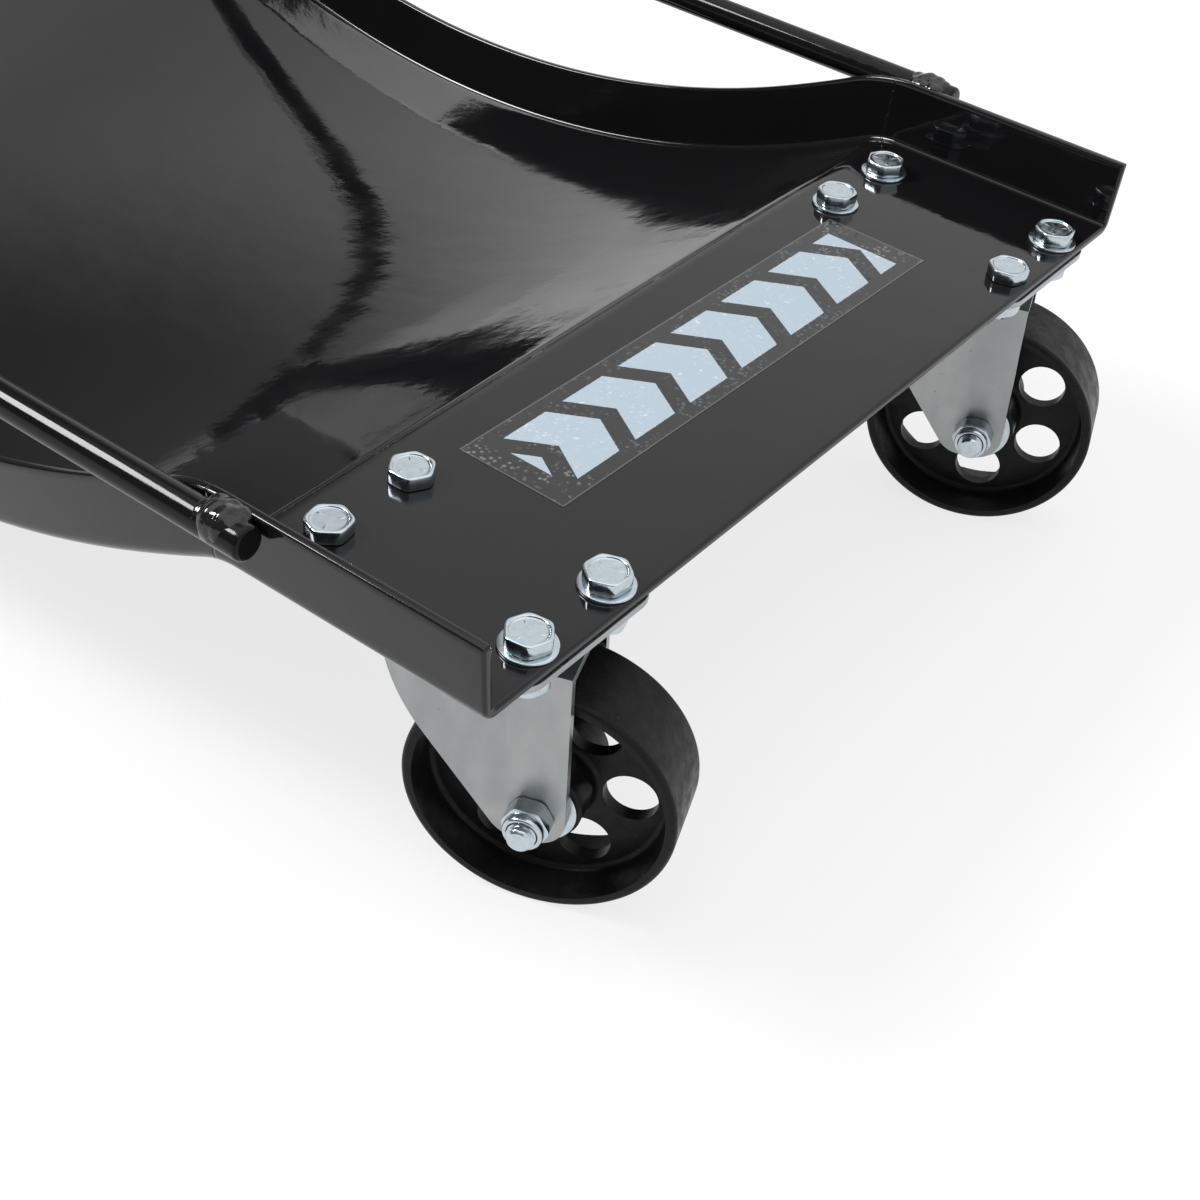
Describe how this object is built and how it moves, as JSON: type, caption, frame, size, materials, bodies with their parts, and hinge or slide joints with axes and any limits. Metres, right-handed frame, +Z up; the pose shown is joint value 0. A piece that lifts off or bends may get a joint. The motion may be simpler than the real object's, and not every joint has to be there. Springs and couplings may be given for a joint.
{
  "type": "wheel dolly",
  "caption": "Low steel dolly whose dished cradle carries one tyre of a parked car and rolls it sideways on swivel casters.",
  "frame": {"origin": "on the floor under the centre of the tray, at the bottom centre of the bounding box", "axes": "+X along the tray's length towards the end pad with the label, +Y across the tray, +Z up"},
  "size_m": [0.5896, 0.3462, 0.1284],
  "materials": {
    "black_powder_coat": "high-gloss black powder coat with fine orange peel",
    "rod_gloss_black": "high-gloss black powder coat on round bar",
    "weld_bead_paint": "glossy black paint over lumpy weld",
    "label_film": "clear film with a printed pattern",
    "bright_zinc": "bright zinc plate, slightly blue",
    "zinc_sheet": "zinc-plated pressed sheet",
    "zinc_fork": "satin zinc-plated pressed sheet with faint streaks",
    "ball_steel": "polished hardened steel with a little grease",
    "wheel_black_iron": "black paint over a fine cast texture, satin"
  },
  "bodies": {
    "tray": {"tray": "black_powder_coat", "side_rod_left": "rod_gloss_black", "side_rod_right": "rod_gloss_black", "rod_welds": "weld_bead_paint", "label": "label_film", "mounting_bolts": "bright_zinc", "mounting_nuts": "bright_zinc", "mounting_washers": "bright_zinc", "caster_plate_front_right": "zinc_sheet", "kingpin_front_right": "zinc_sheet", "lower_race_front_right": "zinc_sheet", "caster_plate_front_left": "zinc_sheet", "kingpin_front_left": "zinc_sheet", "lower_race_front_left": "zinc_sheet", "caster_plate_rear_right": "zinc_sheet", "kingpin_rear_right": "zinc_sheet", "lower_race_rear_right": "zinc_sheet", "caster_plate_rear_left": "zinc_sheet", "kingpin_rear_left": "zinc_sheet", "lower_race_rear_left": "zinc_sheet"},
    "swivel_front_right": {"fork_front_right": "zinc_fork", "upper_balls_front_right": "ball_steel", "lower_balls_front_right": "ball_steel", "axle_bolt_front_right": "bright_zinc", "axle_nut_front_right": "bright_zinc", "axle_sleeve_front_right": "ball_steel", "axle_washers_front_right": "bright_zinc"},
    "wheel_front_right": {"wheel_front_right": "wheel_black_iron", "wheel_rollers_front_right": "ball_steel"},
    "swivel_front_left": {"fork_front_left": "zinc_fork", "upper_balls_front_left": "ball_steel", "lower_balls_front_left": "ball_steel", "axle_bolt_front_left": "bright_zinc", "axle_nut_front_left": "bright_zinc", "axle_sleeve_front_left": "ball_steel", "axle_washers_front_left": "bright_zinc"},
    "wheel_front_left": {"wheel_front_left": "wheel_black_iron", "wheel_rollers_front_left": "ball_steel"},
    "swivel_rear_right": {"fork_rear_right": "zinc_fork", "upper_balls_rear_right": "ball_steel", "lower_balls_rear_right": "ball_steel", "axle_bolt_rear_right": "bright_zinc", "axle_nut_rear_right": "bright_zinc", "axle_sleeve_rear_right": "ball_steel", "axle_washers_rear_right": "bright_zinc"},
    "wheel_rear_right": {"wheel_rear_right": "wheel_black_iron", "wheel_rollers_rear_right": "ball_steel"},
    "swivel_rear_left": {"fork_rear_left": "zinc_fork", "upper_balls_rear_left": "ball_steel", "lower_balls_rear_left": "ball_steel", "axle_bolt_rear_left": "bright_zinc", "axle_nut_rear_left": "bright_zinc", "axle_sleeve_rear_left": "ball_steel", "axle_washers_rear_left": "bright_zinc"},
    "wheel_rear_left": {"wheel_rear_left": "wheel_black_iron", "wheel_rollers_rear_left": "ball_steel"}
  },
  "joints": [
    {"name": "front_right_swivel", "type": "hinge", "parent": "tray", "child": "swivel_front_right", "pos_m": [0.2298, -0.1203, 0.09], "axis": [0, 0, 1], "continuous": true},
    {"name": "front_right_roll", "type": "hinge", "parent": "swivel_front_right", "child": "wheel_front_right", "pos_m": [0.25487, -0.11083, 0.0381], "axis": [0.3535, -0.9354, 0], "continuous": true},
    {"name": "front_left_swivel", "type": "hinge", "parent": "tray", "child": "swivel_front_left", "pos_m": [0.2298, 0.1203, 0.09], "axis": [0, 0, 1], "continuous": true},
    {"name": "front_left_roll", "type": "hinge", "parent": "swivel_front_left", "child": "wheel_front_left", "pos_m": [0.25506, 0.12925, 0.0381], "axis": [0.3338, -0.9426, 0], "continuous": true},
    {"name": "rear_right_swivel", "type": "hinge", "parent": "tray", "child": "swivel_rear_right", "pos_m": [-0.2298, -0.1203, 0.09], "axis": [0, 0, 1], "continuous": true},
    {"name": "rear_right_roll", "type": "hinge", "parent": "swivel_rear_right", "child": "wheel_rear_right", "pos_m": [-0.25506, -0.12925, 0.0381], "axis": [-0.3338, 0.9426, 0], "continuous": true},
    {"name": "rear_left_swivel", "type": "hinge", "parent": "tray", "child": "swivel_rear_left", "pos_m": [-0.2298, 0.1203, 0.09], "axis": [0, 0, 1], "continuous": true},
    {"name": "rear_left_roll", "type": "hinge", "parent": "swivel_rear_left", "child": "wheel_rear_left", "pos_m": [-0.25487, 0.11083, 0.0381], "axis": [-0.3535, 0.9354, 0], "continuous": true}
  ]
}
